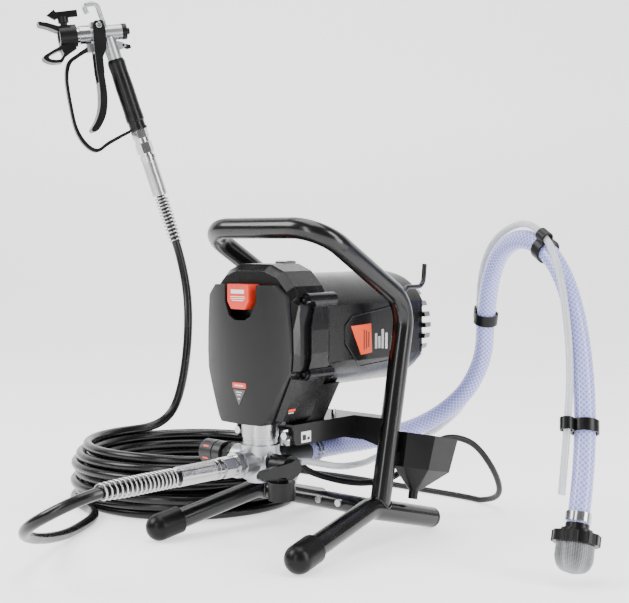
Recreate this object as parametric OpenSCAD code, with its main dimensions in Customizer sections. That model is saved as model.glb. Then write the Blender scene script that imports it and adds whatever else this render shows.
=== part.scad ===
// Stand-mounted airless paint sprayer: tube stand, enclosed drive, piston pump,
// high-pressure hose with spray gun, suction hose with inlet strainer.
// Millimetres, +Z up, -Y is the pump side, origin on the floor.

/* [Stand] */
// Outside diameter of the handle tube
handle_d = 25; // [22:1:32]
// Outside diameter of the base rail tube
rail_d = 26; // [22:1:32]
// Wall of the bent tubes
tube_wall = 2; // [1.2:0.2:3]
// Half the distance between the two uprights
stand_half = 94; // [80:1:120]
// Height of the handle crossbar centre
handle_z = 380; // [330:5:450]
// How far the crossbar sits forward of the rail bends
handle_reach = 92; // [60:2:140]
// Outside diameter of the rubber foot caps
foot_d = 34; // [30:1:44]

/* [Drive] */
// Radius of the motor housing
motor_shell_r = 70.5; // [64:0.5:80]
// Rear end of the motor housing
motor_shell_end = 140; // [120:2:170]
// Radius of the steel motor can
motor_can_r = 46; // [38:1:50]
// Crank throw, half the piston stroke
crank_throw = 12; // [6:1:14]

/* [Pump] */
// Radius of the steel collar between drive and pump
collar_r = 22; // [18:1:26]
// Radius of the piston rod
piston_r = 8; // [6:0.5:10]
// Height of the outlet and suction ports
port_z = 104; // [98:1:110]
// Diameter of the pressure knob
knob_d = 30; // [24:1:40]

/* [Hoses] */
// Outside diameter of the high-pressure hose
hp_d = 13; // [10:0.5:16]
// Outside diameter of the suction hose
suction_d = 24; // [19:1:30]
// Outside diameter of the return tube
return_d = 8.5; // [6:0.5:12]
// Outside diameter of the power cord
cord_d = 8; // [6:0.5:10]

/* [Spray gun] */
// Diameter of the gun grip
grip_d = 28; // [24:1:34]
// Forward tilt of the gun barrel, degrees
gun_tilt = 8; // [0:1:20]

/* [Hidden] */
$fn = 48;
// middle of the footprint of the machine and its gun
footprint_mid = [-200, 0.5];
// a bend is this much thinner than the straights, which reach this far into it
bend_slack = 0.02;
bend_lap = 0.1;
pump_y = -92;
drive_floor = 150;
crank_z = 212;
motor_z = 254;
gear_r = 34;
pinion_r = 7.6;
valve_z = 106;
valve_x = 35;
return_x = 31;
cord_hole = [-22, -10];
seam_y = -60;
upright_foot = [stand_half, 18.2, 42];
upright_top = [stand_half, 69.7, 288];
handle_corner = [stand_half, -handle_reach, handle_z];
rail_apex = [stand_half, 0, 45];
rail_rear = [stand_half, 122, 13.5];
foot_centre = [stand_half + 20, -150, foot_d / 2];
gun_at = [-480.7, 63, 660];
gun_yaw = 240;
grip_top = [-19.5, 0, -24];
grip_dir = [-0.180, 0, -0.9837];
coil_mid = [-274, 43, 0];
cord_coil_mid = [-425, 216, 0];
plug_at = [-358, 198, 0];
// the strap holes leave this much room round the tubes
strap_room = 1.9;

// rear half of the drive outline, right side, top to bottom
shell_side = [[24, 338], [44, 330], [61, 313], [69, 298], [71, 262], [71, 235], [69, 211],
  [42, 155], [36, 150]];
shell_face = [[22, 330], [41, 323], [57, 307], [64, 294], [67.5, 262], [68.5, 235], [66.5, 212],
  [40, 157], [35, 152]];
shell_room = [[20, 329], [38, 322], [53, 307], [60, 295], [61, 262], [61, 235], [59, 213],
  [38, 166], [33, 153]];
cover_side = [[46, 314], [62, 301], [66, 262], [67, 235], [65, 213], [38, 158], [33, 152]];
cover_room = [[44.6, 310.5], [58.6, 299], [62.5, 262], [63.5, 235], [61.6, 214], [36, 161],
  [31.5, 155.5]];

// hose routes
suction_route = [[0, -8, port_z], [0, 50, port_z], [2, 110, 103], [14, 160, 108],
  [42, 200, 126], [78, 222, 162], [104, 224, 210], [116, 214, 264], [134, 198, 316],
  [164, 178, 353], [206, 158, 367], [244, 145, 355], [274, 132, 327], [300, 116, 284],
  [324, 94, 222], [342, 68, 160], [352, 46, 108], [357, 27, 62]];
return_route = [[return_x, -56.9, 101.5], [return_x, -50, 101.5], [33, -30, 97], [36, 12, 87],
  [34, 62, 84], [22, 112, 86], [16, 160, 90], [33, 206, 104], [63, 239, 142], [87, 241, 200],
  [98, 225, 262],
  [116, 204, 324], [152, 180, 367], [206, 158, 386], [250, 134, 370], [278, 116, 336],
  [299, 98, 288], [318, 76, 222], [331, 48, 160], [340, 22, 92]];
tail_route = [[0, -345, 97], [-8, -366, 91], [-30, -382, 79], [-60, -376, 65], [-96, -350, 49],
  [-140, -306, 30], [-180, -252, 15], [-214, -200, 6.6], [-242, -148, 6.6], [-262, -124, 6.6]];
riser_route = [[-400, 163, 289], [-382.5, 149.8, 236], [-378.2, 140.5, 183], [-382.3, 129.8, 134],
  [-391, 118, 102], [-399, 102, 83]];
cord_route = [[-22, -10, 150], [-22, -10, 122], [-22, -7, 98], [-16, 8, 78], [4, 28, 66],
  [38, 54, 60], [62, 84, 66], [76, 124, 88], [92, 158, 110], [110, 190, 102], [120, 228, 62],
  [104, 266, 22], [60, 286, 4], [-60, 292, 4], [-190, 290, 4], [-300, 278, 4], [-360, 280, 4],
  [-405, 280.5, 4]];

// ---------- helpers ----------
function unit(v) = v / norm(v);
function flip(v) = [-v[0], v[1], v[2]];
function both(h) = concat(h, [for (i = [len(h) - 1 : -1 : 0]) [-h[i][0], h[i][1]]]);
function side_of(d) = unit(cross(abs(d[2]) > 0.9 ? [0, 1, 0] : [0, 0, 1], d));
function carry(n, t) = unit(n - (n * t) * t);
function tangents(p) = [for (i = [0 : len(p) - 1])
  unit(p[min(i + 1, len(p) - 1)] - p[max(i - 1, 0)])];
function normals(t, i = 0, acc = []) = i == len(t) ? acc
  : normals(t, i + 1, concat(acc, [carry(i == 0 ? side_of(t[0]) : acc[i - 1], t[i])]));

// smooth run of points through the given ones
function curve_at(a, b, c, d, t) = 0.5 * (2 * b + (c - a) * t + (2 * a - 5 * b + 4 * c - d) * t * t
  + (3 * b - a - 3 * c + d) * t * t * t);
function smooth(p, n = 4) = concat([for (i = [0 : len(p) - 2]) for (k = [0 : n - 1])
  curve_at(p[max(i - 1, 0)], p[i], p[i + 1], p[min(i + 2, len(p) - 1)], k / n)], [p[len(p) - 1]]);

module place() {
  translate([-footprint_mid[0], -footprint_mid[1], 0]) children();
}

// children drawn along +Z are turned to run from p in direction d
module aim(p, d) {
  z = unit(d);
  x = side_of(z);
  y = cross(z, x);
  multmatrix([[x[0], y[0], z[0], p[0]], [x[1], y[1], z[1], p[1]],
    [x[2], y[2], z[2], p[2]], [0, 0, 0, 1]]) children();
}

module tube_face(r, wall) {
  if (wall > 0) {
    difference() {
      circle(r);
      circle(r - wall);
    }
  } else {
    circle(r);
  }
}

// round tube through the points, bent at each inner one; wall 0 is solid
module bent_tube(p, bends, r, wall) {
  n = len(p);
  t = [for (i = [0 : n - 1]) (i == 0 || i == n - 1) ? 0
    : bends[i - 1] * tan(acos(unit(p[i] - p[i - 1]) * unit(p[i + 1] - p[i])) / 2)];
  union() {
    for (i = [0 : n - 2]) {
      d = unit(p[i + 1] - p[i]);
      lap0 = i == 0 ? 0 : bend_lap;
      lap1 = i == n - 2 ? 0 : bend_lap;
      aim(p[i] + (t[i] - lap0) * d, d)
        linear_extrude(norm(p[i + 1] - p[i]) - t[i] - t[i + 1] + lap0 + lap1)
          tube_face(r, wall);
    }
    for (i = [1 : n - 2]) {
      u = unit(p[i] - p[i - 1]);
      v = unit(p[i + 1] - p[i]);
      inward = unit(v - (u * v) * u);
      c = p[i] - t[i] * u + bends[i - 1] * inward;
      x = -inward;
      z = cross(x, u);
      multmatrix([[x[0], u[0], z[0], c[0]], [x[1], u[1], z[1], c[1]],
        [x[2], u[2], z[2], c[2]], [0, 0, 0, 1]])
        rotate_extrude(angle = acos(u * v))
          translate([bends[i - 1], 0])
            tube_face(r - bend_slack, wall > 0 ? wall - 2 * bend_slack : 0);
    }
  }
}

// closed tube of flat rings along the route
module soft_tube(p, r, sides = 10) {
  t = tangents(p);
  n = normals(t);
  m = len(p);
  pts = [for (i = [0 : m - 1]) for (k = [0 : sides - 1])
    p[i] + r * (cos(360 * k / sides) * n[i] + sin(360 * k / sides) * cross(t[i], n[i]))];
  skin = [for (i = [0 : m - 2]) for (k = [0 : sides - 1])
    let (a = i * sides + k, b = i * sides + (k + 1) % sides)
      each [[a, b + sides, b], [a, a + sides, b + sides]]];
  polyhedron(points = pts, faces = concat(skin,
    [[for (k = [0 : sides - 1]) k]],
    [[for (k = [sides - 1 : -1 : 0]) (m - 1) * sides + k]]));
}

// outline in X and Z, solid from y0 to y1
module slab(y0, y1) {
  translate([0, y1, 0]) rotate([90, 0, 0]) linear_extrude(y1 - y0) children();
}

// outline in Y and Z, solid from x0 to x1
module side_slab(x0, x1) {
  translate([x0, 0, 0]) rotate([90, 0, 90]) linear_extrude(x1 - x0) children();
}

module y_rod(x, z, y0, y1, r) {
  translate([x, y1, z]) rotate([90, 0, 0]) cylinder(r = r, h = y1 - y0);
}

module x_rod(y, z, x0, x1, r) {
  translate([x0, y, z]) rotate([0, 90, 0]) cylinder(r = r, h = x1 - x0);
}

module z_rod(x, y, z0, z1, r) {
  translate([x, y, z0]) cylinder(r = r, h = z1 - z0);
}

module y_ring(x, z, y0, y1, r, bore) {
  difference() {
    y_rod(x, z, y0, y1, r);
    y_rod(x, z, y0 - 1, y1 + 1, bore);
  }
}

module hex_y(x, z, y0, y1, r) {
  translate([x, y1, z]) rotate([90, 0, 0]) cylinder(r = r, h = y1 - y0, $fn = 6);
}

module mirrored() {
  children();
  mirror([1, 0, 0]) children();
}

// ---------- stand ----------
function handle_path() = [flip(upright_foot), flip(upright_top), flip(handle_corner),
  handle_corner, upright_top, upright_foot];
foot_dir = unit(foot_centre - rail_apex);
rear_dir = unit(rail_rear - rail_apex);
function rail_path() = [foot_centre - 8 * foot_dir, rail_apex, rail_rear];

// straight stretch of the upright, and of the rail behind it, for fitting ends to
module upright_core(r) {
  aim(upright_foot, upright_top - upright_foot) cylinder(r = r, h = 180);
}

module rail_core(r) {
  aim(rail_apex, rear_dir) translate([0, 0, -30]) cylinder(r = r, h = 100);
}

module handle_frame() {
  color("#1b1b1c") difference() {
    bent_tube(handle_path(), [45, 42, 42, 45], handle_d / 2, tube_wall);
    mirrored() rail_core(rail_d / 2);
  }
}

module right_rail() {
  color("#1b1b1c") bent_tube(rail_path(), [40], rail_d / 2, tube_wall);
}

module left_rail() {
  color("#1b1b1c") mirror([1, 0, 0]) bent_tube(rail_path(), [40], rail_d / 2, tube_wall);
}

module base_crossbar() {
  color("#1b1b1c") difference() {
    x_rod(12, 42.5, -88, 88, 11);
    x_rod(12, 42.5, -89, 89, 9);
    mirrored() {
      rail_core(rail_d / 2 + 0.5);
      upright_core(handle_d / 2 + 0.3);
    }
  }
}

module arm_side() {
  translate([-74, 125]) square([101, 22]);
  translate([-84, 135]) square([12, 12]);
  translate([-74, 135]) circle(10);
}

module mount_bracket() {
  color("#1b1b1c") difference() {
    union() {
      translate([-46.5, -84, 147]) cube([93, 111, 3]);
      side_slab(43.5, 46.5) arm_side();
      side_slab(-46.5, -43.5) arm_side();
      translate([-92, 27, 147]) cube([184, 23, 3]);
      slab(27, 30) polygon([[-92, 147], [92, 147], [92, 114], [62, 121], [-62, 121], [-92, 114]]);
      slab(47, 50) polygon([[-92, 147], [92, 147], [92, 121], [-92, 121]]);
    }
    z_rod(0, pump_y, 140, 160, 26);
    z_rod(cord_hole[0], cord_hole[1], 140, 160, 5.1);
    mirrored() upright_core(handle_d / 2);
    for (sx = [-1, 1]) for (y = [-50, 8]) z_rod(sx * 30, y, 140, 160, 3.3);
  }
}

module hose_hook() {
  color("#1b1b1c") bent_tube([[stand_half, 63.4, 301.7], [stand_half, 71, 307.95],
    [stand_half, 105, 307.95], [stand_half, 108, 336]], [10, 12], 3, 0);
}

module foot_cap() {
  aim(foot_centre, -foot_dir) rotate_extrude() difference() {
    union() {
      intersection() {
        circle(foot_d / 2);
        translate([0, -foot_d]) square([foot_d, foot_d]);
      }
      square([foot_d / 2, 28]);
    }
    translate([0, 8]) square([rail_d / 2, 30]);
    translate([-foot_d, -foot_d]) square([foot_d, 3 * foot_d]);
  }
}

module rear_plug() {
  aim(rail_rear, rear_dir) {
    translate([0, 0, -10]) cylinder(r = rail_d / 2 - tube_wall, h = 10);
    rotate_extrude() {
      square([rail_d / 2, 3]);
      square([rail_d / 2 - 5, 8]);
      intersection() {
        translate([rail_d / 2 - 5, 3]) circle(5);
        square([rail_d, 9]);
      }
    }
  }
}

module foot_caps() {
  color("#141414") mirrored() {
    foot_cap();
    rear_plug();
  }
}

cup_top = [[-1.5, 15], [16, 15], [45, 33], [45, 82], [-1.5, 82]];
cup_low = [[-0.5, 17], [15, 17], [41, 33], [41, 78], [-0.5, 78]];
cup_top_room = [[0.5, 17], [15.4, 17], [43, 34], [43, 80], [0.5, 80]];
cup_low_room = [[1.5, 19], [14.4, 19], [39, 34], [39, 76], [1.5, 76]];

module drip_cup() {
  color("#1d1d1e") translate([stand_half, 21.3, 57]) rotate([-11.83, 0, 0]) {
    difference() {
      union() {
        hull() {
          translate([0, 0, 79]) linear_extrude(1) polygon(cup_top);
          translate([0, 0, 38]) linear_extrude(1) polygon(cup_low);
        }
        hull() {
          translate([0, 0, 38]) linear_extrude(1) polygon(cup_low);
          translate([11, 50, 10]) cylinder(r = 6, h = 1, $fn = 24);
        }
        z_rod(11, 50, 0, 11, 6);
        translate([-8, 6, 40]) cube([16, 12, 15]);
      }
      hull() {
        translate([0, 0, 80.1]) linear_extrude(1) polygon(cup_top_room);
        translate([0, 0, 39]) linear_extrude(1) polygon(cup_low_room);
      }
      hull() {
        translate([0, 0, 39.5]) linear_extrude(1) polygon(cup_low_room);
        translate([11, 50, 11]) cylinder(r = 4, h = 1, $fn = 24);
      }
      z_rod(11, 50, -1, 14, 3.5);
      z_rod(0, 0, 20, 90, handle_d / 2 + 0.15);
    }
  }
}

module fasteners() {
  color("#b9bcc0") {
    mirrored() {
      y_rod(70, 297, -91, -88, 4.6);
      y_rod(70, 297, -88, -50, 2.5);
      y_rod(68, 211, -89, -86, 4.2);
      y_rod(68, 211, -86, -50, 2.4);
    }
    for (x = [14, 46]) {
      y_rod(x, 45, -4, 0.9, 4.5);
    }
    for (sx = [-1, 1]) for (y = [-50, 8]) {
      translate([sx * 30, y, 141.5]) cylinder(r = 6, h = 5.5, $fn = 6);
      z_rod(sx * 30, y, 147, 158, 3.2);
    }
    mirrored() {
      translate([38, -92, 137]) rotate([-90, 0, 0]) cylinder(r = 5, h = 8, $fn = 6);
    }
  }
}

// ---------- drive ----------
module front_shell() {
  color("#2a2a2c") difference() {
    union() {
      slab(-97, seam_y) polygon(both(shell_side));
      hull() {
        slab(-98, -97) polygon(both(shell_side));
        slab(-108, -107) polygon(both(shell_face));
      }
      mirrored() {
        y_rod(69, 297, -88, seam_y, 8.5);
        y_rod(67, 211, -86, seam_y, 7);
      }
    }
    slab(-105, seam_y + 1) polygon(both(shell_room));
    z_rod(0, pump_y, 149, 154, collar_r + 1);
    mirrored() {
      side_slab(65, 80) polygon([[-95, 296], [-82, 296], [-73, 287], [-80, 266], [-80, 228],
        [-87, 205], [-95, 205], [-99, 228], [-99, 282]]);
      y_rod(70, 297, -95, seam_y + 1, 2.6);
      y_rod(68, 211, -95, seam_y + 1, 2.5);
      y_rod(70, 297, -110, -88, 5.4);
      y_rod(68, 211, -110, -86, 5);
    }
  }
}

module motor_round(y0, y1, r, half) {
  intersection() {
    y_rod(0, motor_z + 1, y0, y1, r);
    translate([-half, y0 - 1, motor_z - 100]) cube([2 * half, y1 - y0 + 2, 200]);
  }
}

module motor_shell() {
  color("#262628") difference() {
    union() {
      slab(seam_y, -50) polygon(both(shell_side));
      hull() {
        slab(-51, -50) polygon([for (q = both(shell_side)) [q[0], max(q[1], 185)]]);
        slab(-37, -36) circle_outline();
      }
      side_slab(-38, 38) polygon([[-52, drive_floor], [-20, drive_floor], [10, 192], [-52, 192]]);
      motor_round(-42, motor_shell_end, motor_shell_r, 62);
      mirrored() {
        y_rod(69, 297, seam_y, -40, 8.5);
        y_rod(67, 211, seam_y, -42, 7);
      }
    }
    motor_round(-57, motor_shell_end + 1, motor_shell_r - 4, 57.5);
    slab(seam_y - 1, -52) polygon(both(shell_room));
    side_slab(-34, 34) polygon([[-61, 153], [-21.5, 153], [6, 192], [-61, 192]]);
    mirrored() {
      side_slab(60.8, 70) polygon([[-10, 265], [4, 276], [84, 285], [104, 280], [104, 214],
        [25, 209], [9, 221], [-10, 240]]);
      y_rod(70, 297, seam_y - 1, -50, 2.5);
      y_rod(68, 211, seam_y - 1, -50, 2.4);
    }
    translate([-9, -58, 320]) cube([18, 22, 30]);
    x_rod(-47, 333, -11, 11, 1.55);
    z_rod(cord_hole[0], cord_hole[1], 140, 190, 5);
    for (sx = [-1, 1]) for (y = [-50, 8]) z_rod(sx * 30, y, 140, 158, 3.2);
  }
  color("#262628") difference() {
    motor_round(30, 34, motor_shell_r - 3, 59);
    y_rod(0, motor_z, 29, 35, motor_can_r);
  }
}

module circle_outline() {
  polygon([for (k = [0 : 35]) [min(61, max(-61, (motor_shell_r - 1.5) * sin(10 * k))),
    motor_z + 1 + (motor_shell_r - 1.5) * cos(10 * k)]]);
}

module vent_cap() {
  color("#1f1f21") difference() {
    union() {
      motor_round(motor_shell_end, motor_shell_end + 10, motor_shell_r - 2, 60);
      intersection() {
        for (k = [-3 : 3]) translate([-70, motor_shell_end + 8, motor_z - 1.5 + 14 * k])
          cube([140, 22, 6]);
        translate([0, motor_shell_end + 8, motor_z + 1]) rotate([-90, 0, 0])
          cylinder(r1 = 67, r2 = 61, h = 20);
      }
      y_rod(0, motor_z, motor_shell_end + 8, motor_shell_end + 18, 34);
    }
    y_rod(0, motor_z, motor_shell_end - 1, motor_shell_end + 6, 42);
    for (k = [0 : 7]) rotate_about_motor(45 * k)
      translate([24, motor_shell_end - 1, motor_z - 3]) cube([10, 30, 6]);
  }
}

module rotate_about_motor(a) {
  translate([0, 0, motor_z]) rotate([0, a, 0]) translate([0, 0, -motor_z]) children();
}

// bowed front cover: flat outline cut by two upright cylinders
module front_cover() {
  color("#39393c") difference() {
    union() {
      difference() {
        intersection() {
          slab(-130, -108.3) polygon(both(cover_side));
          translate([0, 33, 140]) cylinder(r = 160, h = 190, $fn = 96);
        }
        intersection() {
          slab(-130, -100) polygon(both(cover_room));
          translate([0, 33, 130]) cylinder(r = 156, h = 200, $fn = 96);
        }
      }
      mirrored() translate([25, -123, 306]) cube([5, 13, 8]);
    }
    slab(-135, -100) polygon([[-25, 330], [25, 330], [25, 294], [17, 278], [8, 273],
      [-8, 273], [-17, 278], [-25, 294]]);
    x_rod(-115, 311, -32, 32, 2.05);
  }
}

module cover_latch() {
  color("#e2533a") difference() {
    union() {
      slab(-129, -110) polygon([[-17, 315], [17, 315], [17, 295], [11, 286], [-11, 286], [-17, 295]]);
      x_rod(-115, 311, -28, 28, 2);
    }
    slab(-124, -100) polygon([[-14, 309], [14, 309], [14, 296], [9, 289], [-9, 289], [-14, 296]]);
  }
}

module power_switch() {
  color("#9a9da1") union() {
    x_rod(-47, 333, -8, 8, 4);
    x_rod(-47, 333, -10.5, 10.5, 1.5);
    translate([-8, -56, 335]) rotate([6, 0, 0]) cube([16, 9.5, 5.5]);
    translate([-8, -47, 336]) rotate([-6, 0, 0]) cube([16, 9.5, 5.5]);
  }
}

module gear_case() {
  color("#a9abad") difference() {
    union() {
      translate([-31, -104, 153]) cube([62, 51.8, 13]);
      translate([-31, -62, 153]) cube([62, 9.8, 60]);
      y_rod(0, crank_z + 10, -62, -52.2, 40);
      y_rod(0, motor_z, -62, -52.2, 46);
      z_rod(0, pump_y, drive_floor, 151.6, collar_r);
      z_rod(0, pump_y, 151.6, 154, 12.9);
      z_rod(0, pump_y, 160, 177, 12.5);
    }
    z_rod(0, pump_y, drive_floor - 1, 180, piston_r + 0.06);
    y_rod(0, crank_z, -64, -48, 7.06);
    y_rod(0, motor_z, -64, -48, 8);
    y_rod(0, motor_z, -60, -48, 11);
    for (sx = [-1, 1]) z_rod(sx * 30, -50, 140, 160, 6);
  }
}

module motor_can() {
  color("#8e9194") difference() {
    y_rod(0, motor_z, -50, 118, motor_can_r);
    y_rod(0, motor_z, -51, 113, motor_can_r - 4);
    y_rod(0, motor_z, 112, 119, 11);
    for (k = [0 : 5]) rotate_about_motor(60 * k)
      translate([20, 112, motor_z - 6]) cube([14, 8, 12]);
  }
}

module motor_bearings() {
  color("#c9ccd0") {
    y_ring(0, motor_z, -60, -52, 11, 5.05);
    y_ring(0, motor_z, 113, 118, 11, 5.05);
  }
}

module toothed(r, n) {
  difference() {
    circle(r);
    for (k = [0 : n - 1]) rotate(360 * k / n) translate([r, 0]) circle(r * 1.25 / n, $fn = 6);
  }
}

module armature() {
  color("#8a5a3a") union() {
    y_rod(0, motor_z, -76, 134, 5);
    y_ring(0, motor_z, 0, 80, 32, 5);
    y_ring(0, motor_z, -14, 0, 26, 5);
    y_ring(0, motor_z, 80, 92, 26, 5);
    y_ring(0, motor_z, 96, 109, 14, 5);
    translate([0, -66, motor_z]) rotate([90, 0, 0]) linear_extrude(8) difference() {
      toothed(pinion_r, 9);
      circle(5);
    }
  }
}

module cooling_fan() {
  color("#3b3b3d") {
    y_ring(0, motor_z, 121, 123, 42, 5);
    y_ring(0, motor_z, 123, 133, 10, 5);
    for (k = [0 : 8]) rotate_about_motor(40 * k)
      translate([9.5, 123, motor_z - 1]) cube([31, 9, 2]);
  }
}

module reduction_gear() {
  color("#7d8084") union() {
    translate([0, -66, crank_z]) rotate([90, 0, 0]) linear_extrude(8) toothed(gear_r, 40);
    y_rod(0, crank_z, -66, -51, 7);
    y_rod(crank_throw, crank_z, -83, -74, 5);
    y_rod(0, crank_z, -76, -74, 20);
  }
}

module piston() {
  color("#c4c7ca") union() {
    difference() {
      translate([-24, -98, crank_z - 13]) cube([48, 12, 26]);
      translate([-17.5, -99, crank_z - 5.2]) cube([35, 14, 10.4]);
    }
    z_rod(0, pump_y, 98, crank_z - 13, piston_r);
  }
}

// ---------- pump ----------
module pump_collar() {
  color("#cfd2d5") difference() {
    union() {
      z_rod(0, pump_y, 134, 150, collar_r);
      z_rod(0, pump_y, 131, 134, collar_r - 1);
    }
    z_rod(0, pump_y, 130, 151, 12);
  }
}

module pump_packing() {
  color("#e8e4d8") difference() {
    z_rod(0, pump_y, 134, 147, 12);
    z_rod(0, pump_y, 133, 148, piston_r + 0.06);
  }
}

module pump_body() {
  color("#a6a8ab") difference() {
    union() {
      z_rod(0, pump_y, 125, 131, 20.5);
      z_rod(0, pump_y, 112, 125, 23.5);
      z_rod(0, pump_y, 84, 113, 21);
      y_rod(0, port_z, -128, -62, 15.5);
      x_rod(pump_y, valve_z, -38, 22, 14.5);
      translate([22, -101.5, 97]) mirror([1, 0, 0]) cube([14, 19, 19]);
      z_rod(0, pump_y, 80, 85, 16);
    }
    z_rod(0, pump_y, 84.5, 132, piston_r + 0.8);
    y_rod(0, port_z, -129, pump_y, 4);
    y_rod(0, port_z, pump_y, -61, 7);
    x_rod(pump_y, valve_z, -39, 0, 3.5);
    x_rod(pump_y, valve_z, 0, 23, 3);
  }
}

module pressure_valve() {
  color("#1c1c1e") union() {
    x_rod(pump_y, valve_z, -44, -38, 13);
    translate([-52, pump_y, valve_z]) rotate([0, 90, 0]) cylinder(r = 13.5, h = 8, $fn = 6);
    x_rod(pump_y, valve_z, -56, -52, 11);
    x_rod(pump_y, valve_z, -66, -56, 4);
  }
}

module pressure_knob() {
  color("#8d8f92") difference() {
    union() {
      x_rod(pump_y, valve_z, -90, -70, knob_d / 2);
      translate([-93, pump_y, valve_z]) rotate([0, 90, 0])
        cylinder(r1 = knob_d / 2 - 4, r2 = knob_d / 2, h = 3);
      x_rod(pump_y, valve_z, -70, -68.5, knob_d / 2 - 1.2);
      x_rod(pump_y, valve_z, -68.5, -56.3, knob_d / 2 - 0.3);
    }
    x_rod(pump_y, valve_z, -80, -56, 4.05);
    for (k = [0 : 11]) translate([0, pump_y, valve_z]) rotate([30 * k, 0, 0])
      translate([-86, -0.7, knob_d / 2 - 0.6]) cube([9, 1.4, 2]);
  }
}

module valve_body() {
  color("#19191a") difference() {
    union() {
      translate([22, -102, 96.5]) cube([3, 20, 15.3]);
      x_rod(pump_y, 101.5, 24, 38, 13);
      translate([24, -100, 83]) cube([14, 16, 10]);
      z_rod(valve_x, pump_y, 62, 83.6, 16);
      y_rod(return_x, 101.5, -82, -74, 6);
    }
    z_rod(valve_x, pump_y, 61, 64, 13.5);
    x_rod(pump_y, 101.5, 28, 39, 5.06);
  }
}

module prime_lever() {
  color("#111112") union() {
    x_rod(pump_y, 101.5, 38.3, 50, 14.5);
    x_rod(pump_y, 101.5, 28.5, 38.3, 5);
    x_rod(pump_y, 101.5, 50, 57, 10);
    side_slab(51.4, 57) polygon([[-92, 110], [-148, 106], [-152, 102], [-152, 98], [-148, 95],
      [-92, 93]]);
  }
}

module return_nipple() {
  color("#d0d3d6") {
    y_rod(return_x, 101.5, -74, -67, 7.5);
    y_rod(return_x, 101.5, -67, -57, 3);
  }
}

module suction_fitting() {
  color("#6c6e71") difference() {
    union() {
      hex_y(0, port_z, -62, -52, 15);
      y_rod(0, port_z, -52, -8, 11);
    }
    y_rod(0, port_z, -63, -7, 8);
  }
}

module hose_clamps() {
  color("#c6c9cc") {
    y_ring(0, port_z, 0, 3, suction_d / 2 + 1.6, suction_d / 2);
    y_ring(0, port_z, 7, 10, suction_d / 2 + 1.6, suction_d / 2);
    translate([-3, 0, port_z + suction_d / 2 + 1]) cube([6, 10, 4]);
    aim(strainer_top(), strainer_dir()) {
      difference() {
        translate([0, 0, 2]) cylinder(r = suction_d / 2 + 2, h = 10);
        translate([0, 0, 1]) cylinder(r = suction_d / 2 + 0.05, h = 12);
      }
      translate([-5, suction_d / 2 + 1, 3]) cube([10, 6, 8]);
    }
  }
}

module outlet_nipple() {
  color("#d2d4d6") difference() {
    union() {
      hex_y(0, port_z, -138, -128, 15.5);
      y_rod(0, port_z, -142, -138, 12);
      y_rod(0, port_z, -156, -142, 7);
    }
    y_rod(0, port_z, -157, -127, 3.5);
  }
}

// ---------- high-pressure hose ----------
// nut and sleeve along +Z from the nipple shoulder
module hose_end() {
  difference() {
    union() {
      cylinder(r = 13, h = 16, $fn = 6);
      translate([0, 0, 16]) cylinder(r = 10, h = 4);
      translate([0, 0, 20]) cylinder(r = 12, h = 6);
      translate([0, 0, 26]) cylinder(r = 11, h = 58);
    }
    translate([0, 0, -1]) cylinder(r = 7, h = 15.5);
    cylinder(r = 3, h = 80);
    translate([0, 0, 60]) cylinder(r = hp_d / 2, h = 30);
  }
}

// ribbed sleeve standing in for the coiled wire guard
module spring_sleeve(length, coils) {
  pitch = (length - 6) / coils;
  rotate_extrude() polygon(concat(
    [[8.6, 0]],
    [for (k = [0 : coils - 1]) each [[10.9, k * pitch], [10.9, k * pitch + 2],
      [9.6, k * pitch + 2.4], [9.6, (k + 1) * pitch - 0.4]]],
    [[9.6, length - 6], [9.6, length], [hp_d / 2 + 0.05, length],
      [hp_d / 2 + 0.05, length - 5], [8.6, length - 8]]));
}

module hose_end_pump() {
  color("#d2d4d6") translate([0, -142, port_z]) rotate([90, 0, 0]) hose_end();
}

module spring_guard_pump() {
  color("#c9ccd0") translate([0, -226, port_z]) rotate([90, 0, 0]) spring_sleeve(112, 17);
}

module hose_tail() {
  color("#1a1a1b") soft_tube(concat([[0, -202, port_z], [0, -338, port_z]],
    tail_route), hp_d / 2, 8);
}

module hose_coil() {
  color("#1a1a1b") translate(coil_mid) rotate_extrude($fn = 72)
    polygon([[122, 0], [160, 0], [162, 5], [162, 60], [154, 72], [150, 75], [130, 75], [122, 68]]);
}

module gun_frame() {
  translate(gun_at) rotate([0, 0, gun_yaw]) rotate([0, gun_tilt, 0]) children();
}

// along the grip axis, +Z pointing down the hose, from distance t
module on_grip(t) {
  aim(grip_top + t * unit(grip_dir), grip_dir) children();
}

function turn_y(v, a) = [v[0] * cos(a) + v[2] * sin(a), v[1], v[2] * cos(a) - v[0] * sin(a)];
function turn_z(v, a) = [v[0] * cos(a) - v[1] * sin(a), v[0] * sin(a) + v[1] * cos(a), v[2]];
function gun_dir(v) = turn_z(turn_y(v, gun_tilt), gun_yaw);
function gun_point(v) = gun_at + gun_dir(v);
function hose_point(t) = gun_point(grip_top + t * unit(grip_dir));

module spring_guard_gun() {
  color("#c9ccd0") gun_frame() on_grip(216) spring_sleeve(80, 16);
}

module hose_end_gun() {
  color("#d2d4d6") gun_frame() on_grip(132) hose_end();
}

module hose_riser() {
  color("#1a1a1b") soft_tube(concat([hose_point(192), hose_point(290), hose_point(306)],
    riser_route), hp_d / 2, 8);
}

// ---------- suction side ----------
function strainer_dir() = unit(suction_route[len(suction_route) - 2]
  - suction_route[len(suction_route) - 1]);
function strainer_top() = suction_route[len(suction_route) - 1];

module suction_hose() {
  color("#b9c4dd") soft_tube(suction_route, suction_d / 2, 12);
}

module return_tube() {
  color("#dfe4e6") soft_tube(return_route, return_d / 2, 8);
}

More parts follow.
